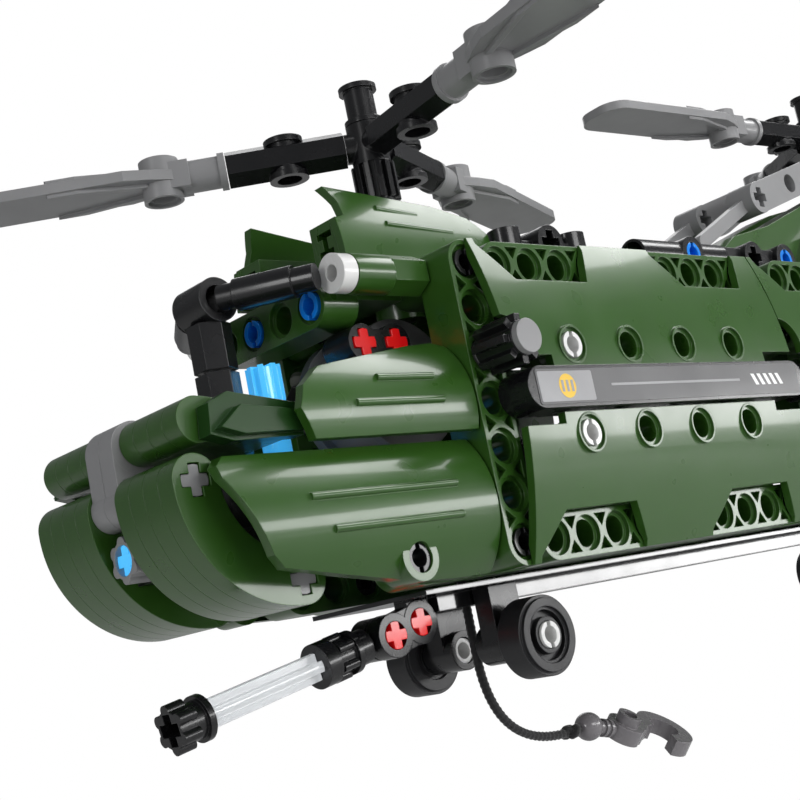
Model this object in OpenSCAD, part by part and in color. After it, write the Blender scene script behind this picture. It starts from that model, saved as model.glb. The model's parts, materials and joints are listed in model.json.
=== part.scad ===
// Tandem-rotor transport helicopter, built from pinned beams and panels.
// +X runs from nose to tail, +Y to starboard, +Z up.
// Origin: on the flat lower face of the belly plate, on the centreline, under the front frame.

/* [Grid] */
// Hole-to-hole pitch of the beams
pitch = 8; // [7.9:0.05:8.1]
// Radius of a round beam hole
hole_r = 2.4; // [2.38:0.01:2.45]
// Radius of the shallow counterbore at each hole mouth
mouth_r = 3.1; // [2.9:0.05:3.2]
// Depth of the counterbore
mouth_d = 0.9; // [0.6:0.1:1.1]
// Width of a beam across its faces
beam_w = 7.9; // [7.7:0.05:7.95]

/* [Hull] */
// Radius of the curved side panels, in pitches
skin_r = 10; // [10:0.1:11]
// Skin thickness of the side panels, in pitches
skin_t = 0.2; // [0.16:0.01:0.24]
// Height of the side bar
bar_h = 7.2; // [6.6:0.1:7.4]

/* [Rotors] */
// Blade tip radius, in pitches
tip_r = 11; // [10:0.1:12.2]
// Blade chord, in millimetres
chord = 13.6; // [12:0.2:15]
// Height of the front rotor plane above the lower hole row, in pitches
front_rotor_z = 10.15; // [10:0.05:10.6]
// Height of the rear rotor plane above the lower hole row, in pitches
rear_rotor_z = 12.5; // [12:0.05:12.6]
// Angle of the first front blade from the tail direction
front_phase = 21; // [0:1:119]
// Angle of the first rear blade from the tail direction
rear_phase = 56; // [0:1:119]

/* [Landing gear] */
// Wheel radius
wheel_r = 7; // [6.6:0.1:7.2]
// Wheel width
wheel_w = 6.4; // [5.8:0.1:6.6]

/* [Winch] */
// Working radius of the winch drum, which sets the cord travel per turn
drum_r = 11.36; // [10.8:0.02:11.5]
// Radius of the cord
cord_r = 0.8; // [0.6:0.05:0.9]

/* [Hidden] */
$fn = 48;

pin_r = hole_r - 0.05; // pins and axles are a loose fit
gap = 0.05;            // clearance on each face of the thin nose pieces

// Places, in pitches; heights count from the lower hole row
lower_row = 1;         // lower hole row above the belly face
rows = [0, 6];         // heights of the lower and upper hole rows
mid_z = 3;
frame_x = [0, 22];     // front and rear frames
side_y = -3;           // outer beams on the port side
winch_z = 4;
cord_x = drum_r / pitch; // the cord leaves the drum at its tail side
front_rotor_x = 1.3;
rear_rotor_x = 22.4;
rear_mast_z = 8.3;     // foot of the rear mast
nose_gear = [1.5, 0.9]; // x, distance from the centreline
rear_gear = [21, 2];
wheel_z = -1.95;
gun_holes = [[-0.5, -1.15], [-1.28, -1.33]]; // x, z; the gun turns on the second
link_x = [-1.9, -1];   // cockpit link axles
link_z = 4.68;
cheek_pin_x = -2.8;
header_x = -2.82;      // front of the beam over the windshield
header_z = 5.6;
joint_z = 7;           // connectors along the roof edge
joint_pin_x = [10, 14.5];

green = [0.2, 0.36, 0.17];
black = [0.09, 0.09, 0.1];
grey = [0.66, 0.67, 0.68];

// Helpers

// move to a place on the grid, in pitches
module place(x, y, z)
  translate([x * pitch, y * pitch, (z + lower_row) * pitch]) children();

// cylinders along an axis, all in millimetres
module cyl_x(radius, start, end, facets = 48)
  translate([start, 0, 0]) rotate([0, 90, 0]) cylinder(r = radius, h = end - start, $fn = facets);
module cyl_y(radius, start, end, facets = 48)
  translate([0, start, 0]) rotate([-90, 0, 0]) cylinder(r = radius, h = end - start, $fn = facets);
module cyl_z(radius, start, end, facets = 48)
  translate([0, 0, start]) cylinder(r = radius, h = end - start, $fn = facets);

// the same, with the radius in millimetres and the ends in pitches
module rod_x(radius, start, end, facets = 48) cyl_x(radius, start * pitch, end * pitch, facets);
module rod_y(radius, start, end, facets = 48) cyl_y(radius, start * pitch, end * pitch, facets);
module rod_z(radius, start, end, facets = 48) cyl_z(radius, start * pitch, end * pitch, facets);

// round bar between two grid points
module strut(start, end, radius) {
  run = (end - start) * pitch;
  length = norm(run);
  place(start[0], start[1], start[2])
    rotate([0, acos(run[2] / length), atan2(run[1], run[0])])
      cylinder(r = radius, h = length, $fn = 32);
}

// a piece and its mirror image across the centreline
module both_sides() {
  children();
  mirror([0, 1, 0]) children();
}

// slab between two y positions from an outline of [x, z] points, in pitches
module slab(outline, y0, y1)
  translate([0, y1 * pitch, 0]) rotate([90, 0, 0]) linear_extrude(height = (y1 - y0) * pitch)
    polygon([for (point = outline) [point[0] * pitch, (point[1] + lower_row) * pitch]]);

// box between two corners, in pitches
module box(x0, x1, y0, y1, z0, z1)
  place(x0, y0, z0) cube([(x1 - x0) * pitch, (y1 - y0) * pitch, (z1 - z0) * pitch]);

// beam along X with holes along Y, first hole at the origin; pockets notch the -Y face
module beam(holes, thickness = beam_w, pockets = false) {
  run = (holes - 1) * pitch;
  half = thickness / 2;
  difference() {
    union() {
      cyl_y(beam_w / 2, -half, half);
      translate([run, 0, 0]) cyl_y(beam_w / 2, -half, half);
      translate([0, -half, -beam_w / 2]) cube([run, thickness, beam_w]);
    }
    for (i = [0:holes - 1]) translate([i * pitch, 0, 0]) {
      cyl_y(hole_r, -thickness, thickness);
      cyl_y(mouth_r, -thickness, -half + mouth_d);
      cyl_y(mouth_r, half - mouth_d, thickness);
    }
    if (pockets) for (i = [0:holes - 2]) for (side = [-1, 1])
      translate([(i + 0.5) * pitch, -half + 1.5, 0]) rotate([90, 0, 0]) linear_extrude(height = 3)
        polygon([[-1.6, side * 3.1], [1.6, side * 3.1], [0, side * 0.9]]);
  }
}

// cross-section axle along Z, length in pitches
module axle(length) {
  rib_w = 1.8;
  height = length * pitch;
  intersection() {
    cylinder(r = pin_r, h = height);
    union() {
      translate([-3, -rib_w / 2, 0]) cube([6, rib_w, height]);
      translate([-rib_w / 2, -3, 0]) cube([rib_w, 6, height]);
    }
  }
}
module axle_y(x, y, z, length) place(x, y, z) rotate([-90, 0, 0]) axle(length);

// cross-shaped hole along Z, length in pitches
module cross_hole(length)
  for (turn = [0, 90]) rotate([0, 0, turn]) translate([-2.5, -1, 0]) cube([5, 2, length * pitch]);
module cross_hole_y(x, y, z, length) place(x, y, z) rotate([-90, 0, 0]) cross_hole(length);

// hollow pin along Y, in millimetres, slotted at the end facing -Y
module pin(start, end) difference() {
  cyl_y(pin_r, start, end);
  cyl_y(1.5, start - 1, end + 1);
  translate([-0.45, start - 1, -5]) cube([0.9, 3.6, 10]);
}

// Frame

module frame_uprights() color(green) for (x = frame_x) both_sides()
  place(x, side_y, 0) rotate([0, -90, 0]) beam(7, pockets = true);

module rails(z) for (x = [1, 12]) both_sides() place(x, side_y, z) beam(10, pockets = true);
module lower_rails() color(green) rails(rows[0]);
module upper_rails() color(green) rails(rows[1]);

module inner_beams() color(green) both_sides() {
  place(-2, -2, rows[0]) beam(25);
  place(0, -2, rows[1]) beam(23);
}

module cross_axles() color(black) for (x = [5, 10, 15, 19]) for (z = rows)
  axle_y(x, -3.4, z, 6.8);

module belly_plate() color(black) difference() {
  union() {
    box(-1.5, 22.4, -1.9, 1.9, -0.66, -0.56);
    box(0, 22.4, -0.6, 0.6, -1, -0.6);
    box(-0.2, 0.1, -0.05, 0.6, -1, -0.6);
  }
  // cord hole
  place(cord_x, 0, -2) rod_z(2.2, 0, 2);
}

module roof_deck() color(green) difference() {
  union() {
    box(-0.45, 21.4, -1.45, 1.45, 6.32, 6.48);
    place(front_rotor_x, 0, 5.7) rod_z(5, 0, 0.75);
  }
  place(front_rotor_x, 0, 5) rod_z(hole_r, 0, 3);
}

// Side panels: drawn to port, mirrored to starboard

panel_starts = [0, 10.45];
panel_face = 4.22; // outermost reach of the skin from the centreline
boss_dz = 0.97;    // bosses above or below mid height

// cut in the panel's outer edge: x from its middle, z from mid height
window = [[-1.75, 3.7], [-1.75, 3.35], [-1.0, 2.5], [1.35, 2.5], [1.75, 3.35], [1.75, 3.7]];

module skin(x0, x1, z0, z1) difference() {
  intersection() {
    place(x0, skin_r - panel_face, mid_z) rod_x(skin_r * pitch, 0, x1 - x0, 200);
    box(x0 - 1, x1 + 1, -4.6, -3.52, z0, z1);
  }
  place(x0 - 1, skin_r - panel_face, mid_z)
    rod_x((skin_r - skin_t) * pitch, 0, x1 - x0 + 2, 200);
}

// side is 1 for the upper panel, -1 for the lower
module panel(x0, side) {
  boss_z = mid_z + side * boss_dz;
  difference() {
    union() {
      skin(x0 + 0.05, x0 + 10.45, side > 0 ? 3.5 : -0.5, side > 0 ? 6.5 : 2.5);
      for (x = [2:2:8]) place(x0 + x, 0, boss_z) rod_y(3.5, -panel_face, -3.53);
    }
    for (x = [2:2:8]) place(x0 + x, 0, boss_z) {
      rod_y(hole_r, -5, -3);
      cyl_y(mouth_r, -5 * pitch, -panel_face * pitch + 0.7);
    }
    for (x = [2, 8])
      slab([for (point = window) [x0 + x + point[0], mid_z + side * point[1]]], -5, -3);
    // clearance round the winch knob
    place(x0, 0, winch_z) rod_y(0.66 * pitch, -5, -3);
    for (x = [x0, x0 + 9.2])
      box(x, x + 1.25, -5, -3, side > 0 ? 3.4 : 2.25, side > 0 ? 3.75 : 2.6);
  }
}
module panel_upper_port() color(green) for (x = panel_starts) panel(x, 1);
module panel_upper_stbd() mirror([0, 1, 0]) panel_upper_port();
module panel_lower_port() color(green) for (x = panel_starts) panel(x, -1);
module panel_lower_stbd() mirror([0, 1, 0]) panel_lower_port();

module side_bars() color(black) both_sides() for (x = [0, 10.5]) difference() {
  union() {
    for (end = [0.5, 9.95]) place(x + end, 0, mid_z) rod_y(bar_h / 2, -4.42, -3.56);
    place(x + 0.5, -4.42, mid_z) translate([0, 0, -bar_h / 2])
      cube([9.45 * pitch, 0.86 * pitch, bar_h]);
  }
  // blind holes, open inward
  for (hole = [1:9]) place(x + hole, 0, mid_z) rod_y(hole_r, -4.1, -3);
}

// Fasteners

module frame_pins() color(black) both_sides() {
  for (x = frame_x) for (z = rows) place(x, 0, z) pin(-3.5 * pitch + 0.15, -1.6 * pitch);
  place(cheek_pin_x, 0, 0) pin(-3.3 * pitch, -2.56 * pitch);
}

module white_pins() color("white") both_sides() {
  for (x = panel_starts) for (side = [-1, 1])
    place(x + 2, 0, mid_z + side * boss_dz) pin(-panel_face * pitch + 0.1, -3.55 * pitch);
  // wheel pins
  for (leg = [nose_gear, rear_gear])
    place(leg[0], -leg[1], wheel_z) pin(-1.38 * pitch, 0.45 * pitch);
}

module blue_pins() color([0.05, 0.42, 0.9]) {
  for (y = [-1.5, 0.5]) place(header_x, y, header_z)
    rotate([0, 0, 90]) mirror([0, 1, 0]) pin(0.1, 0.85 * pitch);
  both_sides() for (x = joint_pin_x) place(x, 0, joint_z) pin(-2.42 * pitch, -1.6 * pitch);
}

module red_axles() color([0.85, 0.05, 0.05]) {
  for (hole = gun_holes) axle_y(hole[0], -0.52, hole[1], 1.04);
  for (x = link_x) axle_y(x, -2.02, link_z, 1);
}

// Winch

module winch_knob() color(black) place(0, 0, winch_z) difference() {
  union() {
    rod_y(3, -4.62, -3.56);
    for (i = [0:7]) rotate([0, i * 45, 0])
      translate([2.6, -4.56 * pitch, -0.65]) cube([1.65, 0.94 * pitch, 1.3]);
  }
  rod_y(hole_r, -6, -3);
}

module winch_axle() color(grey) place(0, 0, winch_z) {
  rod_y(pin_r, -4.62, 3.4);
  rod_y(2.9, -4.78, -4.63);
  rod_y(2, -4.7, -4.5);
}

module winch_drum() color(grey) place(0, 0, winch_z) difference() {
  union() {
    rod_y(drum_r - cord_r - 0.2, -0.75, 0.75, 96);
    for (y = [-0.95, 0.7]) rod_y(1.52 * pitch, y, y + 0.25, 96);
  }
  rod_y(hole_r, -2, 2);
  for (turn = [0:60:300]) rotate([0, turn, 0]) translate([6.3, 0, 0]) rod_y(1.6, -2, 2);
}

// cord path: straight down from the drum, then a Bezier curve to the hook
cord_end = [3.98, 0, -4.3];
cord_controls = [[cord_x, 0, -2.1], [cord_x, 0, -3.4], [2, 0, -4.35], cord_end];
curve_steps = 7;
function cord_point(t) =
  cord_controls[0] * pow(1 - t, 3) + cord_controls[1] * 3 * t * pow(1 - t, 2)
  + cord_controls[2] * 3 * t * t * (1 - t) + cord_controls[3] * t * t * t;
cord_path = concat([[cord_x, 0, 3.9]], [for (i = [0:curve_steps]) cord_point(i / curve_steps)]);

module winch_cord() color([0.05, 0.05, 0.05]) {
  for (i = [0:curve_steps]) {
    end = cord_path[i + 1];
    strut(cord_path[i], end, cord_r);
    if (i < curve_steps) place(end[0], 0, end[2]) sphere(r = cord_r * 1.12, $fn = 32);
  }
  place(cord_end[0], 0, cord_end[2]) sphere(r = 1.7, $fn = 32);
}

// drawn along +X from the ball, in millimetres
module cargo_hook() color([0.5, 0.49, 0.5]) place(4.62, 0, cord_end[2])
  rotate([0, 14, 0]) rotate([36, 0, 0]) difference() {
    union() {
      sphere(r = 2.7);
      cyl_x(1.4, 2, 8);
      for (i = [0:1]) translate([3.6 + i * 1.5, 0, 0]) cyl_x(1.75, 0, 0.7);
      // eye
      translate([10.1, 0, 0]) {
        cyl_z(3.7, -1.7, 1.5);
        cyl_z(2.35, 1.5, 3.4);
      }
      // shank
      translate([0, 0, -1.7]) linear_extrude(height = 3.2)
        polygon([[10.6, -3.3], [10.6, 3.3], [13.6, 3.0], [17.2, 4.1], [18.7, 1.9],
          [18.3, 0.6], [16.2, -0.5], [13.6, -2.3]]);
      // open ring
      translate([21.7, 0, -1.7]) difference() {
        cyl_z(6, 0, 3.2, 72);
        cyl_z(3.05, -1, 5, 72);
        translate([0, 0, -1]) linear_extrude(height = 6)
          polygon([[0, 0], [-12, 1.2], [-12, -12], [-4.6, -12]]);
      }
    }
    translate([10.1, 0, 0]) cyl_z(1.45, -4, 6);
  }

// Rotors

mast_over = 1.45; // mast end above the rotor plane

module around(phase) for (turn = [0, 120, 240]) rotate([0, 0, phase + turn]) children();

module mast(x, z0, z1) color(black) place(x, 0, z0) axle(z1 - z0);

module hub(x, z, phase) color(black) place(x, 0, z) difference() {
  union() {
    rod_z(3.7, -0.5, 0.5);
    around(phase) rod_x(2.9, 0, 0.56);
    // upper bush
    rod_z(2.9, 0.52, 1.5);
    rod_z(3.7, 0.52, 0.64);
    rod_z(3.7, 1.38, 1.5);
    // ridged lower bush
    for (i = [0:11]) rotate([0, 0, i * 30])
      translate([2.6, -0.5, -1.42 * pitch]) cube([1.6, 1, 0.9 * pitch]);
    rod_z(3.1, -1.45, -0.5);
  }
  rod_z(hole_r, -3, 3);
}

module arm() difference() {
  union() {
    rod_x(3.65, 0.58, 3.42, 6);
    translate([2 * pitch, 0, 0]) {
      rod_z(3.1, -0.5, 0.5);
      rod_z(3.8, 0.36, 0.5);
      rod_z(3.8, -0.5, -0.36);
    }
  }
  translate([2 * pitch, 0, 0]) rod_z(hole_r, -1, 1);
}
module arms(x, z, phase) color(black) place(x, 0, z) around(phase) arm();

module blade() {
  half = chord / 2;
  corner_r = 5.4;
  corner_x = (tip_r - 0.7) * pitch;
  difference() {
    union() {
      rod_x(3.6, 3.44, 3.6);
      rod_x(3.1, 3.6, 4.5);
      translate([4.3 * pitch, -3.3, -2.6]) cube([0.7 * pitch, 6.6, 5.2]);
      translate([5 * pitch, 0, 0]) rod_z(3.8, -0.5, 0.5);
      translate([0, 0, -1]) linear_extrude(height = 2) union() {
        polygon([[4.6 * pitch, -3], [5.2 * pitch, -half + 1.6], [5.8 * pitch, -half],
          [corner_x, -half], [corner_x, half],
          [5.8 * pitch, half], [5.2 * pitch, half - 1.6], [4.6 * pitch, 3]]);
        translate([corner_x, half - corner_r]) circle(r = corner_r);
        translate([corner_x, -half + corner_r]) circle(r = corner_r);
        translate([corner_x, -half + corner_r]) square([corner_r, chord - 2 * corner_r]);
      }
      // raised ribs at the root
      for (side = [-1, 1]) translate([0, 0, -1.7]) linear_extrude(height = 3.4)
        polygon([[5.3 * pitch, side * 2], [7 * pitch, side * (half - 1.4)],
          [7.6 * pitch, side * (half - 0.5)], [6.9 * pitch, side * (half - 0.5)],
          [5.3 * pitch, side * 3.2]]);
    }
    translate([5 * pitch, 0, 0]) {
      rod_z(hole_r, -1, 1);
      cyl_z(mouth_r, -pitch, -0.5 * pitch + 0.7);
      cyl_z(mouth_r, 0.5 * pitch - 0.7, pitch);
    }
  }
}
module blades(x, z, phase) color(grey) place(x, 0, z) around(phase) blade();

module front_mast() mast(front_rotor_x, 5.75, front_rotor_z + mast_over);
module front_hub() hub(front_rotor_x, front_rotor_z, front_phase);
module front_arms() arms(front_rotor_x, front_rotor_z, front_phase);
module front_blades() blades(front_rotor_x, front_rotor_z, front_phase);
module rear_mast() mast(rear_rotor_x, rear_mast_z, rear_rotor_z + mast_over);
module rear_hub() hub(rear_rotor_x, rear_rotor_z, rear_phase);
module rear_arms() arms(rear_rotor_x, rear_rotor_z, rear_phase);
module rear_blades() blades(rear_rotor_x, rear_rotor_z, rear_phase);

// Nose: half-pitch slices side by side, with a gap along the centreline for the grey strips

slice_y = [-2.5, -2, -1.5, -1, 0.5, 1, 1.5, 2];
arch_ends = [[-7, 2], [-5, 0]]; // x, z of the two axles

module slice(radius, y, facets = 48)
  cyl_y(radius, y * pitch + gap, (y + 0.5) * pitch - gap, facets);

// quarter ring with round ends
module arch(y) difference() {
  union() {
    intersection() {
      place(-5, 0, 2) difference() {
        slice(2.5 * pitch - gap, y, 120);
        cyl_y(1.5 * pitch + gap, y * pitch - 1, (y + 0.5) * pitch + 1, 96);
      }
      box(-7.6, -5, y, y + 0.5, -0.6, 2);
    }
    for (end = arch_ends) place(end[0], 0, end[1]) slice(0.5 * pitch - gap, y);
  }
  for (end = arch_ends) cross_hole_y(end[0], y - 0.1, end[1], 0.7);
}
module nose_arches() color(green) for (y = slice_y) arch(y);
module nose_axles() color(grey) for (end = arch_ends) axle_y(end[0], -2.46, end[1], 4.92);

module nose_cap() color(green) for (y = slice_y) union() {
  place(-6.75, 0, 3.1) slice(0.44 * pitch, y);
  slab([[-6.75, 2.67], [-4.72, 2.67], [-4.72, 3.22], [-6.6, 3.53], [-6.75, 3.53]],
    y + 0.006, y + 0.494);
}

module nose_strips() color(grey) for (y = [-0.5, 0]) difference() {
  union() {
    place(-7, 0, 2) slice(0.42 * pitch, y);
    box(-7.36, -6.7, y + 0.01, y + 0.49, 2, 3.06);
    place(-6.84, 0, 3.06) slice(0.52 * pitch, y);
    box(-6.84, -5.9, y + 0.01, y + 0.49, 3.06, 3.57);
  }
  cross_hole_y(-7, y - 0.1, 2, 0.7);
}

module nose_block() color(black) difference() {
  union() {
    box(-6.68, -5.2, -0.46, 0.46, 0.52, 1.42);
    box(-5.8, -2.5, -0.46, 0.46, 0.52, 1.3);
    box(-6.6, -6, -0.46, 0.46, 1.42, 1.52);
  }
  place(-8, 0, 1) rod_x(hole_r, 0, 3.1);
}

module lamp_bush() color(grey) place(-7.2, 0, 1) difference() {
  union() {
    rod_x(2.9, 0, 0.5);
    for (i = [0:5]) rotate([i * 60, 0, 0]) translate([0, 0, 2.6]) rod_x(1.05, 0, 0.5);
  }
  cyl_x(hole_r, -1, pitch);
}

module clear_blue_axles() color([0.3, 0.75, 1, 0.7]) {
  place(-7.14, 0, 1) rotate([0, 90, 0]) axle(2);
  place(-3.1, 0, 1.31) union() {
    rod_z(2.5, 0, 3.35);
    for (i = [0:3]) rotate([0, 0, i * 45])
      translate([-3, -0.5, 2.1 * pitch]) cube([6, 1, 1.3 * pitch]);
  }
}

module nose_wedges() color([0.13, 0.24, 0.12]) both_sides() difference() {
  union() {
    slab([[-6.8, 2.72], [-6.74, 3.3], [-6.3, 3.5], [-4.7, 3.24], [-4.7, 2.62], [-6.3, 2.58]],
      -2.9, -2.52);
    slab([[-6.7, 2.8], [-6.2, 3.2], [-4.76, 3.05], [-4.76, 2.68], [-6.2, 2.66]], -3.12, -2.7);
  }
  place(-6.1, -2.66, 2) rod_z(0.7, 0, 3);
}

// Cheeks

// part of a tube along X, trimmed to a side outline; start is the tube's front centre
module curved_shell(start, radius, wall, length, facets, outline, y0, y1) difference() {
  intersection() {
    place(start[0], start[1], start[2]) rod_x(radius * pitch, 0, length, facets);
    slab(outline, y0, y1);
  }
  place(start[0], start[1], start[2])
    cyl_x((radius - wall) * pitch, -1, (length + 1) * pitch, facets);
}

// thin round rib on a curved shell
module rib(x0, x1, y, z, slope = 0)
  place(x0, y, z) rotate([0, -slope, 0]) rod_x(0.6, 0, x1 - x0, 32);

// side outlines: x, z
lower_cheek = [[-6.7, 2.3], [-0.56, 2.3], [-0.56, -0.48], [-1.4, -0.48], [-2.7, -0.41],
  [-4.6, -0.1], [-6.05, 0.16], [-6.3, 0.4], [-6.6, 1.05], [-7.0, 1.85], [-6.98, 2.1]];
upper_cheek = [[-4.85, 2.42], [-0.56, 2.42], [-0.56, 4.3], [-0.8, 4.42], [-1.6, 4.33],
  [-4.4, 3.84], [-4.95, 3.45], [-5.15, 3.0]];

module cheeks_lower() color(green) both_sides() difference() {
  union() {
    curved_shell([-9, -1.62, 0.95], 1.9, 0.22, 10, 120, lower_cheek, -3.7, -2.56);
    rib(-5.3, -1.6, -3.48, 1.35);
    rib(-4.9, -1.6, -3.5, 0.72);
    // boss for the cheek pin
    intersection() {
      place(cheek_pin_x, 0, 0) rod_y(3.7, -3.35, -2.56);
      box(-4, -1, -3.6, -2, -0.6, 1);
    }
  }
  place(cheek_pin_x, 0, 0) rod_y(hole_r, -4, -2);
}

module cheeks_upper() color(green) both_sides() {
  curved_shell([-9, -1.75, 3], 1.75, 0.22, 10, 120, upper_cheek, -3.7, -2.56);
  rib(-3.1, -1.6, -3.42, 3.55);
  rib(-3.8, -1.5, -3.5, 3.05);
}

// Cockpit

module windshield_beam() color(green)
  place(header_x + 0.5, -1.5, header_z) rotate([0, 0, 90]) beam(4, beam_w - 0.4, true);

module windshield_pillar() color(black) {
  place(-4.3, 0, 1.31) rotate([0, 0, 30]) rod_z(3.7, 0, 3.25, 6);
  place(-4.3, 0, 4.62) rotate([0, 0, 30]) rod_z(3.7, 0, 1, 6);
  place(-4.3, 0, 6.05) difference() {
    rod_y(3.8, -0.5, 0.5);
    rod_y(hole_r, -1, 1);
  }
}

module windshield_bars() color(black) both_sides() difference() {
  union() {
    strut([-4.27, -0.53, 6.05], [-3.18, -2.35, 5.95], 2.2);
    strut([-4.08, -0.85, 6.03], [-3.42, -1.95, 5.97], 2.7);
  }
  box(-5, -2, -0.52, 0.52, 4, 8);
}

module roof_tubes() color(green) both_sides() place(0, -2.5, 5.98) {
  difference() {
    rod_x(3.4, -2.5, -1.5);
    rod_x(hole_r, -3, -1.7);
  }
  rod_x(3.6, -1.5, -0.56, 6);
}

module tube_bushes() color("white") both_sides() place(0, -2.5, 5.98) difference() {
  union() {
    rod_x(3.3, -2.9, -2.52);
    rod_x(pin_r, -2.6, -1.8);
  }
  rod_x(1.4, -3, -1.7);
}

module cockpit_roof() color(green) box(-1.83, -0.56, -1.95, 1.95, 5.62, 5.95);

// on the port side only
module cockpit_links() color(black) difference() {
  union() {
    for (x = link_x) place(x, 0, link_z) rod_y(3.3, -1.98, -1.1);
    box(link_x[0], link_x[1], -1.98, -1.1, 4.4, 4.96);
    place(-0.7, -1.55, 4.4) rotate([0, -17, 0]) {
      rod_x(3, -3, -2.05, 6);
      rod_x(2.6, -2.1, -1.2);
    }
  }
  for (x = link_x) cross_hole_y(x, -3, link_z, 3);
}

// Roof

// side outline: x, z
mast_fin = [[-1.94, 6.55], [2.64, 6.55], [2.64, 7.3], [2.2, 7.72], [1.2, 8.0],
  [-1.75, 8.34], [-1.62, 7.9], [-1.66, 7.55], [-1.94, 7.45]];

module mast_fairings() color(green) both_sides() difference() {
  union() {
    slab([[-1.9, 6.56], [2.62, 6.56], [2.6, 7.2], [2.4, 7.5], [-1.9, 7.5]], -1.83, -0.95);
    curved_shell([-3, 1, 6.6], 3, 0.2, 7, 160, mast_fin, -2.1, -1.1);
    rib(-0.6, 0.6, -1.73, 7.8, -5);
    rib(-0.5, 1.5, -1.87, 7.4, -3);
  }
  // I-shaped recess in the front
  box(-2.2, -1, -1.62, -1.14, 7.16, 7.3);
  box(-2.2, -1, -1.62, -1.14, 6.76, 6.9);
  box(-2.2, -1, -1.46, -1.3, 6.8, 7.2);
  place(front_rotor_x, 0, 6) rod_z(5, 0, 3);
}

// three connectors along each roof edge
module roof_connectors() color(black) both_sides() difference() {
  union() {
    for (x = [3.1, 5.45]) place(x, -2, 6.53) rod_z(3.1, 0, 0.85);
    place(4.28, 0, 7.02) rod_y(3.6, -2.4, -1.6);
    box(3.3, 5.3, -2.2, -1.8, 6.62, 7.1);
    place(7.9, -2, joint_z) difference() {
      rod_x(3.3, 0, 3.7);
      cyl_x(2.7, -1, 1.2 * pitch);
      translate([-1, -6, -8]) cube([2.2 * pitch, 12, 6]);
    }
    place(joint_pin_x[0], 0, joint_z) rod_y(3.75, -2.42, -1.58);
    for (x = [12.9, joint_pin_x[1]]) place(x, 0, joint_z) rod_y(3.7, -2.42, -1.58);
    box(11.5, 14.5, -2.25, -1.75, 6.75, 7.3);
  }
  cross_hole_y(4.28, -3, 7.02, 2);
  cross_hole_y(12.9, -3, joint_z, 2);
  for (x = joint_pin_x) place(x, 0, joint_z) rod_y(hole_r, -3, -1);
  for (x = [3.1, 5.45]) place(x, -2, 7) rod_z(2, 0, 1);
}

// Gun

module gun_mount() color(black) difference() {
  union() {
    for (hole = gun_holes) place(hole[0], 0, hole[1]) rod_y(3.8, -0.5, -0.06);
    place(-0.89, 0, -1.24) rotate([0, -13, 0])
      translate([-3.4, -0.5 * pitch + 0.1, -3.4]) cube([6.8, 0.44 * pitch - 0.2, 6.8]);
    box(-0.8, -0.2, -0.47, -0.09, -1.15, -0.67);
  }
  for (hole = gun_holes) place(hole[0], 0, hole[1]) rod_y(hole_r, -1, 1);
}

// parts are drawn along +Z from the pivot, then laid forward and tipped down
module along_gun() place(gun_holes[1][0], 0, gun_holes[1][1])
  rotate([0, -9.5, 0]) rotate([0, -90, 0]) children();

module gun_yoke() color(black) along_gun() difference() {
  union() {
    rod_y(3.7, 0.02, 0.5);
    translate([-2.6, 0.04 * pitch, 0]) cube([5.2, 0.42 * pitch, 1.1 * pitch]);
    rod_z(3, 0.55, 1.9);
    rod_z(3.7, 0.9, 1.05);
    rod_z(3.8, 1.55, 1.9);
    for (i = [0:5]) rotate([0, 0, i * 60]) translate([3.1, 0, 0]) rod_z(0.8, 1.1, 1.5);
  }
  rod_y(hole_r, -1, 1);
  // room for the mount beside the yoke
  translate([-5, -5, -5]) cube([10, 5 + 0.01 * pitch, 0.54 * pitch + 5]);
}

module gun_barrel() color([0.85, 0.87, 0.9, 0.6])
  along_gun() translate([0, 0, 1.92 * pitch]) axle(2.9);

module gun_muzzle() color(black) along_gun() difference() {
  union() {
    rod_z(3, 4.84, 5.6);
    rod_z(3.7, 4.84, 4.98);
    for (i = [0:5]) rotate([0, 0, i * 60]) translate([2.9, 0, 0]) rod_z(1, 5.2, 5.6);
  }
  translate([0, 0, 4.95 * pitch]) cross_hole(1);
}

// Landing gear

module gear_legs() color(black) both_sides() for (leg = [nose_gear, rear_gear]) difference() {
  union() {
    place(leg[0] - 0.45, -leg[1] - 0.25, wheel_z) cube([0.9 * pitch, 0.5 * pitch, 1.28 * pitch]);
    place(leg[0], -leg[1], wheel_z) rod_y(3.6, -0.5, 0.5);
    if (leg == rear_gear) box(20.4, 21.6, -2.5, -1.5, -1.01, -0.53);
  }
  place(leg[0], -leg[1], wheel_z) rod_y(hole_r, -1, 1);
  if (leg == rear_gear) box(20, 22, -1.92, -1.4, -1.02, -0.5);
}

// tyre and hub, drawn outward from the port leg
module wheel(leg) color([0.12, 0.12, 0.13]) place(leg[0], -leg[1] - 0.56, wheel_z) {
  difference() {
    union() {
      cyl_y(wheel_r - 0.6, -wheel_w, 0, 96);
      cyl_y(wheel_r, -wheel_w + 0.7, -0.7, 96);
    }
    cyl_y(4.35, -wheel_w - 1, 1);
    cyl_y(4.9, -wheel_w - 1, -wheel_w + 0.6);
  }
  difference() {
    union() {
      cyl_y(4.3, -wheel_w + 1.6, -0.6);
      cyl_y(3.2, -wheel_w + 0.3, -0.1);
    }
    cyl_y(hole_r, -wheel_w - 1, 1);
  }
}
module wheel_nose_port() wheel(nose_gear);
module wheel_nose_stbd() mirror([0, 1, 0]) wheel(nose_gear);
module wheel_rear_port() wheel(rear_gear);
module wheel_rear_stbd() mirror([0, 1, 0]) wheel(rear_gear);

// Tail

// x, z along the bent tail beam
tail_foot = [12.6, 7.9];
tail_bend = [15.6, 9.35];
tail_top = [21.9, 11.3];

// outline of a straight strip between two points
function strip(start, end, half) =
  let (along = (end - start) / norm(end - start), across = [-along[1], along[0]] * half)
    [start + across, end + across, end - across, start - across];

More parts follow.
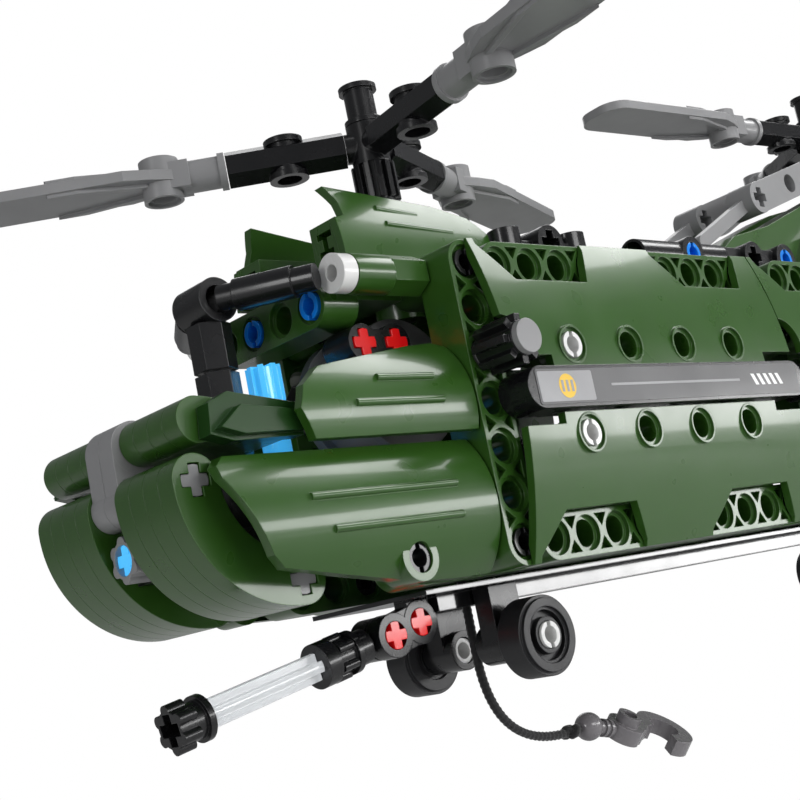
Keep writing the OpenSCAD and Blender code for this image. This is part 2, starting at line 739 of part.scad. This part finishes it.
module tail_beams() color(grey) {
  both_sides() difference() {
    union() {
      slab(strip(tail_foot, tail_bend, 0.2), -1.12, -0.86);
      slab(strip(tail_bend, tail_top, 0.48), -1.45, -0.55);
      place(tail_bend[0], 0, tail_bend[1]) rod_y(0.5 * pitch, -1.45, -0.55);
      place(tail_top[0], 0, tail_top[1]) rod_y(0.47 * pitch, -1.45, -0.55);
      place(tail_foot[0], 0, tail_foot[1]) rod_y(0.19 * pitch, -1.12, -0.86);
    }
    cross_hole_y(tail_bend[0], -2, tail_bend[1], 2);
    for (t = [0.3, 0.5, 0.7]) {
      hole = tail_bend + (tail_top - tail_bend) * t;
      place(hole[0], 0, hole[1]) rod_y(hole_r, -2, 0);
    }
  }
  // rear mast bearing
  difference() {
    union() {
      box(21.6, 23.2, -0.54, 0.54, 10.5, 10.95);
      place(rear_rotor_x, 0, rear_mast_z) rod_z(3.9, 0, 2.3);
    }
    place(rear_rotor_x, 0, 8) rod_z(hole_r, 0, 4);
  }
}

// side outlines: x, z
pylon_side = [[12.0, 6.56], [12.2, 7.15], [13.6, 7.98], [15.5, 8.4], [17.5, 9.1],
  [19.3, 9.72], [21.5, 10.2], [22.6, 10.2], [23.2, 9.2], [23.4, 6.56]];
pylon_bulge = [[15.9, 6.56], [17.2, 8.1], [18.4, 8.8], [18.2, 6.56]];
tail_side = [[22.56, 3.3], [22.56, 6.45], [25.2, 5.9], [26.8, 4.4], [26.8, 3.9], [24.6, 3.3]];
tail_cover = [[22.56, 6.2], [22.56, 6.5], [25.3, 5.95], [26.95, 4.4], [26.95, 3.9],
  [26.8, 3.9], [26.8, 4.3], [25.2, 5.75]];

module tail_fairings() color(green) {
  both_sides() {
    slab(pylon_side, -1.5, -0.6);
    slab(pylon_bulge, -1.85, -1.5);
    slab(tail_side, -3.45, -3.15);
  }
  slab(tail_cover, -3.13, 3.13);
}

module cargo_ramp() color(green) difference() {
  union() {
    slab([[22.7, -0.3], [22.95, -0.55], [26.8, 3.3], [26.8, 3.65], [26.6, 3.65]], -2.3, 2.3);
    for (y = [-2.2, -0.2, 1.8])
      slab([[23.7, 0.6], [26.2, 3.15], [26.0, 3.35], [23.5, 0.85]], y, y + 0.4);
    place(22.85, 0, -0.35) rod_y(0.28 * pitch, -2.3, 2.3);
  }
  place(22.85, 0, -0.35) rod_y(1.2, -4, 4);
}

frame_uprights();
lower_rails();
upper_rails();
inner_beams();
cross_axles();
belly_plate();
roof_deck();
panel_upper_port();
panel_upper_stbd();
panel_lower_port();
panel_lower_stbd();
side_bars();
frame_pins();
white_pins();
blue_pins();
red_axles();
winch_knob();
winch_axle();
winch_drum();
winch_cord();
cargo_hook();
front_mast();
front_hub();
front_arms();
front_blades();
rear_mast();
rear_hub();
rear_arms();
rear_blades();
nose_arches();
nose_axles();
nose_cap();
nose_strips();
nose_block();
lamp_bush();
clear_blue_axles();
nose_wedges();
cheeks_lower();
cheeks_upper();
windshield_beam();
windshield_pillar();
windshield_bars();
roof_tubes();
tube_bushes();
cockpit_roof();
cockpit_links();
mast_fairings();
roof_connectors();
gun_mount();
gun_yoke();
gun_barrel();
gun_muzzle();
gear_legs();
wheel_nose_port();
wheel_nose_stbd();
wheel_rear_port();
wheel_rear_stbd();
tail_beams();
tail_fairings();
cargo_ramp();
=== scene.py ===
"""Looks, lights and camera for a model aircraft built from plastic pieces.

The nose points to -X, port is -Y and up is +Z. Most places are in modules of 8 mm,
and module height -1 lies at z = 0. Sizes not marked as modules are in metres.
"""
import json
import math
import bpy
import bmesh
from mathutils import Matrix, Vector


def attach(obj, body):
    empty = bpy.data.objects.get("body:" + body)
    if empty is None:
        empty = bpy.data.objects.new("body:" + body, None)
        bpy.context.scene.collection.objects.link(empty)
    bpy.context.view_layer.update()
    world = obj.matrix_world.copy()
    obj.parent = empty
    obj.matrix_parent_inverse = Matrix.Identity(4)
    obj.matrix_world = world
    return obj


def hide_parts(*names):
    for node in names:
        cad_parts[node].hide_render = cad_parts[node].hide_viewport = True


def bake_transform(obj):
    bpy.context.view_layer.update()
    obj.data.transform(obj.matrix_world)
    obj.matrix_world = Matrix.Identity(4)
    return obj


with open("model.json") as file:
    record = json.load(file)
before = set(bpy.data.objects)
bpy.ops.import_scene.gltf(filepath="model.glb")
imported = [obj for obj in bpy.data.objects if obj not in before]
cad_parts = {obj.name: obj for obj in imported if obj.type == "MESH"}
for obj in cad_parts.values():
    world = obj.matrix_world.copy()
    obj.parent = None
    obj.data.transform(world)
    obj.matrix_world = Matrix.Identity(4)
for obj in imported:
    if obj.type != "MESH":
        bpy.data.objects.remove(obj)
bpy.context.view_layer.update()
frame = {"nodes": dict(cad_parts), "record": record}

MODULE = 0.008


def at(x, y, z):
    """Point in metres from a place in modules."""
    return Vector((x * MODULE, y * MODULE, (z + 1) * MODULE))


# ---------------------------------------------------------------- shader helpers
def new_material(name):
    material = bpy.data.materials.new(name)
    material.use_nodes = True
    tree = material.node_tree
    tree.nodes.clear()
    return material, tree


def add_node(tree, kind, inputs=None, **properties):
    """Add a node; inputs maps socket names or indices to their values."""
    node = tree.nodes.new(kind)
    for key, value in properties.items():
        setattr(node, key, value)
    for key, value in (inputs or {}).items():
        node.inputs[key].default_value = value
    return node


# ---------------------------------------------------------------- plastics
# Sockets of a Mix node set to RGBA, whose names repeat between data types
MIX_FACTOR, MIX_A, MIX_B, MIX_RESULT = 0, 6, 7, 2


def plastic(name, base, roughness, edge_wear_and_highlight_gain, coat, grain=0.25, specular=0.5, transmission=0.0,
            bevel=0.00022, mottling=0.12, sheen=0.0, grain_scale=2600.0, painted_glow=0.0):
    """Moulded plastic with soft edges, slow colour variation and a fine surface grain.

    The edge gain brightens the edges, partly as worn edges and partly as a painted edge
    highlight, mottling is the relative colour swing, and bevel is the shaded edge radius.
    """
    material, tree = new_material(name)
    link = tree.links.new
    output = add_node(tree, "ShaderNodeOutputMaterial")
    shader = add_node(tree, "ShaderNodeBsdfPrincipled", {
        "Specular IOR Level": specular,
        "Coat Weight": coat,
        "Coat Roughness": 0.08,
        "IOR": 1.46,
        "Transmission Weight": transmission,
        "Sheen Weight": sheen,
    })
    coords = add_node(tree, "ShaderNodeTexCoord")

    def noise(scale, detail):
        node = add_node(tree, "ShaderNodeTexNoise", {"Scale": scale, "Detail": detail})
        link(coords.outputs["Object"], node.inputs["Vector"])
        return node.outputs["Fac"]

    colour_noise = noise(scale=55.0, detail=4.0)
    wear_and_highlight_noise = noise(scale=160.0, detail=2.0)
    grain_noise = noise(scale=grain_scale, detail=2.0)

    # Edges show where the bevelled normal turns away from the true one
    soft_edge = add_node(tree, "ShaderNodeBevel", {"Radius": bevel}, samples=8)
    geometry = add_node(tree, "ShaderNodeNewGeometry")
    agreement = add_node(tree, "ShaderNodeVectorMath", operation="DOT_PRODUCT")
    link(soft_edge.outputs["Normal"], agreement.inputs[0])
    link(geometry.outputs["Normal"], agreement.inputs[1])
    edge_mask = add_node(tree, "ShaderNodeMapRange", {
        "From Min": 0.985, "From Max": 0.75, "To Min": 0.0, "To Max": 1.0})
    link(agreement.outputs["Value"], edge_mask.inputs["Value"])
    edge_wear_and_highlight = add_node(tree, "ShaderNodeMath", operation="MULTIPLY")
    link(edge_mask.outputs["Result"], edge_wear_and_highlight.inputs[0])
    link(wear_and_highlight_noise, edge_wear_and_highlight.inputs[1])

    # Colour: slow variation, then lighter edges, partly wear and partly a painted edge highlight
    ramp = add_node(tree, "ShaderNodeValToRGB")
    dark, light = ramp.color_ramp.elements
    dark.position = 0.35
    dark.color = [c * (1 - mottling) for c in base] + [1]
    light.position = 0.65
    light.color = [min(1, c * (1 + mottling)) for c in base] + [1]
    link(colour_noise, ramp.inputs["Fac"])
    # Painted highlight mixed with wear: the edge colour is the base colour made lighter
    wear_and_highlight_colour = [min(1, c * edge_wear_and_highlight_gain + 0.012) for c in base] + [1]
    mix = add_node(tree, "ShaderNodeMix", {MIX_B: wear_and_highlight_colour}, data_type="RGBA")
    link(edge_wear_and_highlight.outputs["Value"], mix.inputs[MIX_FACTOR])
    link(ramp.outputs["Color"], mix.inputs[MIX_A])
    link(mix.outputs[MIX_RESULT], shader.inputs["Base Color"])

    # Handling marks vary the roughness
    marks = add_node(tree, "ShaderNodeMapRange", {
        "From Min": 0.3, "From Max": 0.75,
        "To Min": roughness - 0.03, "To Max": roughness + 0.04})
    link(wear_and_highlight_noise, marks.inputs["Value"])
    link(marks.outputs["Result"], shader.inputs["Roughness"])

    bump = add_node(tree, "ShaderNodeBump", {"Strength": grain, "Distance": 0.00001})
    link(grain_noise, bump.inputs["Height"])
    link(soft_edge.outputs["Normal"], bump.inputs["Normal"])
    link(bump.outputs["Normal"], shader.inputs["Normal"])

    # Painted glow: an emission in the base colour makes the piece shine by itself, though it is
    # no lamp
    if painted_glow:
        shader.inputs["Emission Color"].default_value = [*base, 1]
        shader.inputs["Emission Strength"].default_value = painted_glow
    link(shader.outputs["BSDF"], output.inputs["Surface"])
    material.diffuse_color = [*base, 1]
    return material


GREEN = plastic("glossy_green", (0.027, 0.088, 0.010), roughness=0.30, edge_wear_and_highlight_gain=1.8,
                coat=0.40, mottling=0.04, grain=0.03)
# Painted shade: a darker copy of the glossy green, given to the nose wedges so their upward faces
# look shaded
SHADED_GREEN = plastic("shaded_green", (0.012, 0.048, 0.008), roughness=0.30, edge_wear_and_highlight_gain=2.2,
                     coat=0.10, specular=0.3, mottling=0.06)
BLACK = plastic("black_plastic", (0.0075, 0.0075, 0.0085), roughness=0.27, edge_wear_and_highlight_gain=4.0,
                coat=0.25)
GLOSS_BLACK = plastic("gloss_black", (0.006, 0.006, 0.007), roughness=0.10, edge_wear_and_highlight_gain=4.0,
                      coat=0.8)
GREY = plastic("light_grey_plastic", (0.27, 0.27, 0.275), roughness=0.33, edge_wear_and_highlight_gain=1.35,
               coat=0.15, mottling=0.05)
HOOK_GREY = plastic("hook_grey", (0.19, 0.18, 0.19), roughness=0.26, edge_wear_and_highlight_gain=1.4,
                    coat=0.4, mottling=0.05)
WHITE = plastic("white_plastic", (0.80, 0.80, 0.79), roughness=0.25, edge_wear_and_highlight_gain=1.05,
                coat=0.2, mottling=0.03)
BLUE = plastic("blue_pin", (0.004, 0.24, 0.90), roughness=0.22, edge_wear_and_highlight_gain=1.5, coat=0.3)
# The red axles and both clear plastics carry a painted glow
RED = plastic("red_axle", (0.80, 0.006, 0.008), roughness=0.22, edge_wear_and_highlight_gain=1.3,
              coat=0.4, painted_glow=0.10)
CLEAR_BLUE = plastic("clear_blue", (0.10, 0.62, 1.0), roughness=0.12, edge_wear_and_highlight_gain=1.3,
                     coat=0.6, transmission=0.25, mottling=0.04, painted_glow=0.35)
CLEAR = plastic("clear_plastic", (0.90, 0.92, 0.94), roughness=0.14, edge_wear_and_highlight_gain=1.0,
                coat=0.4, transmission=0.60, mottling=0.03, painted_glow=0.10)
TYRE = plastic("wheel_rubber", (0.016, 0.016, 0.018), roughness=0.42, edge_wear_and_highlight_gain=3.0,
               coat=0.05, grain=0.5)
CORD = plastic("cord_fibre", (0.010, 0.010, 0.011), roughness=0.75, edge_wear_and_highlight_gain=3.0,
               coat=0.0, grain=0.9, sheen=0.3, grain_scale=6000.0)
LABEL_MID = plastic("label_mid_grey", (0.085, 0.085, 0.088), roughness=0.38, edge_wear_and_highlight_gain=1.4,
                    coat=0.1, bevel=0.00005)
LABEL_LIGHT = plastic("label_light_grey", (0.30, 0.30, 0.31), roughness=0.38, edge_wear_and_highlight_gain=1.2,
                      coat=0.1, bevel=0.00005)
LABEL_WHITE = plastic("label_white", (0.85, 0.85, 0.85), roughness=0.4, edge_wear_and_highlight_gain=1.0,
                      coat=0.0, bevel=0.00003)
LABEL_YELLOW = plastic("label_yellow", (0.80, 0.50, 0.02), roughness=0.4, edge_wear_and_highlight_gain=1.0,
                       coat=0.0, bevel=0.00003)

SLOT_MATERIALS = {
    "green_plastic": GREEN,
    "black_plastic": BLACK,
    "light_grey_plastic": GREY,
    "wheel_black": TYRE,
    "white_plastic": WHITE,
    "blue_plastic": BLUE,
    "red_plastic": RED,
    "cord": CORD,
    "dark_grey_plastic": HOOK_GREY,
    "clear_blue_plastic": CLEAR_BLUE,
    "clear_plastic": CLEAR,
}
# Pieces that don't take their slot's material; the nose wedges take a darker copy of the green as
# painted shade
NODE_MATERIALS = {"belly_plate": GLOSS_BLACK, "nose_wedges": SHADED_GREEN, "tube_bushes": WHITE}


def paint_cad_pieces():
    for part in frame["record"]["subparts"]:
        piece = frame["nodes"][part["node"]]
        slot_material = SLOT_MATERIALS[part["material_slot"]]
        material = NODE_MATERIALS.get(part["node"], slot_material)
        if not piece.data.materials:
            piece.data.materials.append(material)
        for slot in piece.material_slots:
            slot.link = "OBJECT"
            slot.material = material


paint_cad_pieces()


# ---------------------------------------------------------------- mesh helpers
def new_mesh(name, bm, material, body=None, smooth=True):
    mesh = bpy.data.meshes.new(name)
    bm.normal_update()
    bm.to_mesh(mesh)
    bm.free()
    for polygon in mesh.polygons:
        polygon.use_smooth = smooth
    piece = bpy.data.objects.new(name, mesh)
    bpy.context.scene.collection.objects.link(piece)
    mesh.materials.append(material)
    if body:
        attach(piece, body)
    return piece


def prism(bm, outline, y0, y1):
    """Closed slab between two y values, from an outline of (x, z) points."""
    start = [bm.verts.new((x, y0, z)) for x, z in outline]
    end = [bm.verts.new((x, y1, z)) for x, z in outline]
    bm.faces.new(start)
    bm.faces.new(end[::-1])
    for i in range(len(outline)):
        j = (i + 1) % len(outline)
        bm.faces.new((start[j], start[i], end[i], end[j]))


def round_rect(x0, x1, z0, z1, radius, steps=6):
    points = []
    corners = ((x1 - radius, z1 - radius, 0), (x0 + radius, z1 - radius, 90),
               (x0 + radius, z0 + radius, 180), (x1 - radius, z0 + radius, 270))
    for x, z, start_angle in corners:
        for i in range(steps + 1):
            angle = math.radians(start_angle + 90 * i / steps)
            points.append((x + radius * math.cos(angle), z + radius * math.sin(angle)))
    return points


def tube(bm, points, radius, segments, relief, closed=False):
    """Sweep a circle along points; relief(angle, distance) scales its radius."""
    count = len(points)
    rings = []
    distance = 0.0
    for i, point in enumerate(points):
        before = points[i - 1] if (i > 0 or closed) else point
        after = points[(i + 1) % count] if (i < count - 1 or closed) else point
        direction = (after - before).normalized()
        side = Vector((0, 1, 0)).cross(direction).normalized()
        over = direction.cross(side).normalized()
        if i:
            distance += (point - points[i - 1]).length
        ring = []
        for k in range(segments):
            angle = 2 * math.pi * k / segments
            offset = side * math.cos(angle) + over * math.sin(angle)
            ring.append(bm.verts.new(point + offset * (radius * relief(angle, distance))))
        rings.append(ring)
    for i in range(count if closed else count - 1):
        ring, following = rings[i], rings[(i + 1) % count]
        for k in range(segments):
            j = (k + 1) % segments
            bm.faces.new((ring[k], ring[j], following[j], following[k]))
    if not closed:
        bm.faces.new(rings[0][::-1])
        bm.faces.new(rings[-1])


# ---------------------------------------------------------------- side labels
# In modules: side face, mid-height, start of each panel, label ends within a panel
SIDE_Y = 4.42
LABEL_Z = 4
PANEL_STARTS = (0.0, 10.5)
LABEL_ENDS = (0.32, 10.12)

LABEL_HALF_HEIGHT = 0.0030
LIGHT_INSET = 0.0004
LIGHT_END = 0.0142          # from the label's -X end
DISC_X = 0.0074             # from the label's -X end
DISC_RADIUS = 0.0021
DISC_POINTS = 32
BAR_COUNT, BAR_PITCH, BAR_WIDTH, BAR_HALF_HEIGHT = 3, 0.0012, 0.0006, 0.0010
HATCH_COUNT, HATCH_PITCH, HATCH_WIDTH, HATCH_HALF_HEIGHT = 5, 0.0021, 0.0011, 0.0011
HATCH_SLANT = 0.0012
HATCH_START = 0.0165        # from the label's +X end
LINE_INSETS = (0.0190, 0.0205)
LINE_HALF_HEIGHT = 0.00022

# Each layer's start and end, measured outward from the side face
BASE_LAYER = (0.00002, 0.00010)
PRINT_LAYER = (0.00010, 0.00014)
DISC_LAYER = (0.00014, 0.00018)
BAR_LAYER = (0.00018, 0.00021)


def labels(side, outward):
    """Two labels on one side of the fuselage; outward is the sign of y there."""
    face_y = outward * SIDE_Y * MODULE
    mid_z = at(0, 0, LABEL_Z - 1).z

    def layer(name, outlines, depths, material):
        bm = bmesh.new()
        for outline in outlines:
            prism(bm, outline, *(face_y + outward * depth for depth in depths))
        bmesh.ops.recalc_face_normals(bm, faces=bm.faces)
        new_mesh(f"{name}_{side}", bm, material, "fuselage", smooth=False)

    def band(x0, x1, half_height, slant=0.0):
        """Four-sided outline whose lower edge is shifted by slant."""
        low, high = mid_z - half_height, mid_z + half_height
        return [(x0, high), (x1, high), (x1 + slant, low), (x0 + slant, low)]

    for k, panel in enumerate(PANEL_STARTS):
        start, end = ((panel + x) * MODULE for x in LABEL_ENDS)
        base = round_rect(start, end, mid_z - LABEL_HALF_HEIGHT, mid_z + LABEL_HALF_HEIGHT,
                          radius=0.0004)
        layer(f"label_base{k}", [base], BASE_LAYER, LABEL_MID)

        half = LABEL_HALF_HEIGHT - LIGHT_INSET
        light = round_rect(start + LIGHT_INSET, start + LIGHT_END, mid_z - half, mid_z + half,
                           radius=0.0003)
        layer(f"label_light{k}", [light], PRINT_LAYER, LABEL_LIGHT)

        angles = [2 * math.pi * i / DISC_POINTS for i in range(DISC_POINTS)]
        disc = [(start + DISC_X + DISC_RADIUS * math.cos(angle),
                 mid_z + DISC_RADIUS * math.sin(angle)) for angle in angles]
        layer(f"label_disc{k}", [disc], DISC_LAYER, LABEL_YELLOW)

        # Upright bars, centred on the disc
        first = start + DISC_X - ((BAR_COUNT - 1) * BAR_PITCH + BAR_WIDTH) / 2
        bars = []
        for i in range(BAR_COUNT):
            x, low, high = first + i * BAR_PITCH, mid_z - BAR_HALF_HEIGHT, mid_z + BAR_HALF_HEIGHT
            bars.append([(x, low), (x + BAR_WIDTH, low), (x + BAR_WIDTH, high), (x, high)])
        layer(f"label_bars{k}", bars, BAR_LAYER, LABEL_LIGHT)

        hatch = []
        for i in range(HATCH_COUNT):
            x = end - HATCH_START + i * HATCH_PITCH
            hatch.append(band(x, x + HATCH_WIDTH, HATCH_HALF_HEIGHT, HATCH_SLANT))
        layer(f"label_hatch{k}", hatch, PRINT_LAYER, LABEL_WHITE)

        x0, x1 = start + LINE_INSETS[0], end - LINE_INSETS[1]
        low, high = mid_z - LINE_HALF_HEIGHT, mid_z + LINE_HALF_HEIGHT
        line = [(x0, low), (x1, low), (x1, high), (x0, high)]
        layer(f"label_line{k}", [line], PRINT_LAYER, LABEL_LIGHT)


labels("port", outward=-1)
labels("stbd", outward=1)


# ---------------------------------------------------------------- braided cord
# In modules: a straight drop, then a cubic curve toward +X given by its control points
CORD_TOP_Z = 3.9
CURVE_X = (1.42, 1.42, 2.0, 3.98)
CURVE_Z = (-2.1, -3.4, -4.35, -4.3)
DROP_SHARE = 0.25           # part of the path parameter spent on the drop
PATH_STEPS = 520

CORD_RADIUS = 0.00078
CORD_STEP = 0.00022
BRAID_PITCH = 0.0021
KNOT_POINTS = 160
KNOT_RADIUS = 0.00070
KNOT_SPREAD = 0.00052
KNOT_HEIGHT = 0.00062


def bezier(controls, u):
    p0, p1, p2, p3 = controls
    v = 1 - u
    return p0 * v ** 3 + 3 * p1 * u * v * v + 3 * p2 * u * u * v + p3 * u ** 3


def cord_point(t):
    if t < DROP_SHARE:
        place = Vector((CURVE_X[0], 0, CORD_TOP_Z - t / DROP_SHARE * (CORD_TOP_Z - CURVE_Z[0])))
    else:
        u = (t - DROP_SHARE) / (1 - DROP_SHARE)
        place = Vector((bezier(CURVE_X, u), 0, bezier(CURVE_Z, u)))
    return at(*place)


def even_steps(path, step):
    """Resample a path at near-equal steps along its length."""
    lengths = [0.0]
    for start, end in zip(path, path[1:]):
        lengths.append(lengths[-1] + (end - start).length)
    count = int(lengths[-1] / step)
    points, j = [], 0
    for i in range(count + 1):
        target = lengths[-1] * i / count
        while j < len(lengths) - 2 and lengths[j + 1] < target:
            j += 1
        fraction = (target - lengths[j]) / (lengths[j + 1] - lengths[j])
        points.append(path[j].lerp(path[j + 1], fraction))
    return points


def braid_relief(angle, distance):
    twist = 2 * math.pi / BRAID_PITCH * distance
    return 1.0 + 0.13 * math.cos(4 * angle + twist) * math.cos(4 * angle - twist)


def knot_relief(angle, distance):
    return 1.0 + 0.10 * math.cos(3 * angle + distance / 0.0004)


def knot_points():
    """Trefoil loop around the lower end of the cord."""
    centre = at(CURVE_X[-1], 0, CURVE_Z[-1])
    points = []
    for i in range(KNOT_POINTS):
        t = 2 * math.pi * i / KNOT_POINTS
        points.append(centre + Vector((
            (math.sin(t) + 2 * math.sin(2 * t)) * KNOT_SPREAD,
            (math.cos(t) - 2 * math.cos(2 * t)) * KNOT_SPREAD,
            -math.sin(3 * t) * KNOT_HEIGHT)))
    return points


def cord():
    path = [cord_point(i / PATH_STEPS) for i in range(PATH_STEPS + 1)]
    bm = bmesh.new()
    tube(bm, even_steps(path, CORD_STEP), CORD_RADIUS, segments=24, relief=braid_relief)
    tube(bm, knot_points(), KNOT_RADIUS, segments=14, relief=knot_relief, closed=True)
    braid = new_mesh("cord_braid", bm, CORD)
    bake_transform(braid)
    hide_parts("winch_cord")


cord()


# ---------------------------------------------------------------- floor and world
def floor_material():
    """Pure white to the camera, soft grey to other rays, see-through from below."""
    material, tree = new_material("studio_floor")
    link = tree.links.new
    white = (1, 1, 1, 1)
    output = add_node(tree, "ShaderNodeOutputMaterial")
    diffuse = add_node(tree, "ShaderNodeBsdfDiffuse", {"Color": (0.55, 0.55, 0.55, 1)})
    faint = add_node(tree, "ShaderNodeEmission", {"Color": white, "Strength": 0.10})
    bright = add_node(tree, "ShaderNodeEmission", {"Color": white, "Strength": 1.0})
    lit = add_node(tree, "ShaderNodeAddShader")
    rays = add_node(tree, "ShaderNodeLightPath")
    by_ray = add_node(tree, "ShaderNodeMixShader")
    link(diffuse.outputs[0], lit.inputs[0])
    link(faint.outputs[0], lit.inputs[1])
    link(rays.outputs["Is Camera Ray"], by_ray.inputs[0])
    link(lit.outputs[0], by_ray.inputs[1])
    link(bright.outputs[0], by_ray.inputs[2])
    geometry = add_node(tree, "ShaderNodeNewGeometry")
    clear = add_node(tree, "ShaderNodeBsdfTransparent")
    by_side = add_node(tree, "ShaderNodeMixShader")
    link(geometry.outputs["Backfacing"], by_side.inputs[0])
    link(by_ray.outputs[0], by_side.inputs[1])
    link(clear.outputs[0], by_side.inputs[2])
    link(by_side.outputs[0], output.inputs["Surface"])
    return material


def floor():
    bm = bmesh.new()
    bmesh.ops.create_grid(bm, x_segments=2, y_segments=2, size=30.0)
    for vert in bm.verts:
        vert.co.z = at(0, 0, -10.8).z
    new_mesh("floor", bm, floor_material(), smooth=False)


def studio_world():
    """White to the camera, a dim cool fill to other rays."""
    world = bpy.data.worlds.new("studio")
    bpy.context.scene.world = world
    world.use_nodes = True
    tree = world.node_tree
    tree.nodes.clear()
    link = tree.links.new
    output = add_node(tree, "ShaderNodeOutputWorld")
    rays = add_node(tree, "ShaderNodeLightPath")
    fill = add_node(tree, "ShaderNodeBackground",
                    {"Color": (0.95, 0.97, 1.0, 1), "Strength": 0.20})
    white = add_node(tree, "ShaderNodeBackground", {"Color": (1, 1, 1, 1), "Strength": 1.0})
    mix = add_node(tree, "ShaderNodeMixShader")
    link(rays.outputs["Is Camera Ray"], mix.inputs[0])
    link(fill.outputs[0], mix.inputs[1])
    link(white.outputs[0], mix.inputs[2])
    link(mix.outputs[0], output.inputs["Surface"])


floor()
studio_world()

# ---------------------------------------------------------------- lights
MIDDLE = (0.04, 0, 0.03)
# name, location, target, width, height, watts
LIGHTS = (
    ("port_box", (0.66, -0.66, 0.075), (0.08, -0.03, 0.03), 0.60, 0.14, 2.7),
    ("port_mid", (0.05, -0.78, 0.18), (0.0, 0, 0.03), 0.50, 0.20, 2.4),
    ("key_front_left", (-0.75, -0.22, 0.14), (-0.02, 0, 0.02), 0.14, 0.36, 1.3),
    ("top_soft", (0.05, -0.34, 0.66), MIDDLE, 0.34, 0.34, 0.7),
    ("rear_high", (0.54, -0.20, 0.56), (0.0, 0, 0.03), 0.32, 0.32, 2.3),
    ("rim_back", (0.45, 0.45, 0.40), MIDDLE, 0.40, 0.40, 0.8),
)
for name, location, target, width, height, watts in LIGHTS:
    light = bpy.data.lights.new(name, "AREA")
    light.shape = "RECTANGLE"
    light.size = width
    light.size_y = height
    light.energy = watts
    lamp = bpy.data.objects.new(name, light)
    bpy.context.scene.collection.objects.link(lamp)
    lamp.location = location
    aim = Vector(target) - Vector(location)
    lamp.rotation_euler = aim.to_track_quat("-Z", "Y").to_euler()

# ---------------------------------------------------------------- camera
# The camera's own axes in the scene; it looks against CAMERA_BACK
CAMERA_RIGHT = (0.7325197514, -0.6521715178, -0.1951592303)
CAMERA_UP = (0.03000587362, -0.2554731434, 0.9663504129)
CAMERA_BACK = (-0.6800841576, -0.7137266874, -0.1675701473)

lens = bpy.data.cameras.new("camera")
camera = bpy.data.objects.new("camera", lens)
bpy.context.scene.collection.objects.link(camera)
pose = Matrix((CAMERA_RIGHT, CAMERA_UP, CAMERA_BACK)).transposed().to_4x4()
pose.translation = (-0.17018, -0.18415, -0.00418)
camera.matrix_world = pose
lens.sensor_fit = "HORIZONTAL"
lens.sensor_width = 36.0
lens.lens = 63.34
lens.clip_start = 0.005
lens.clip_end = 50
bpy.context.scene.camera = camera
bpy.context.scene.view_settings.view_transform = "Standard"
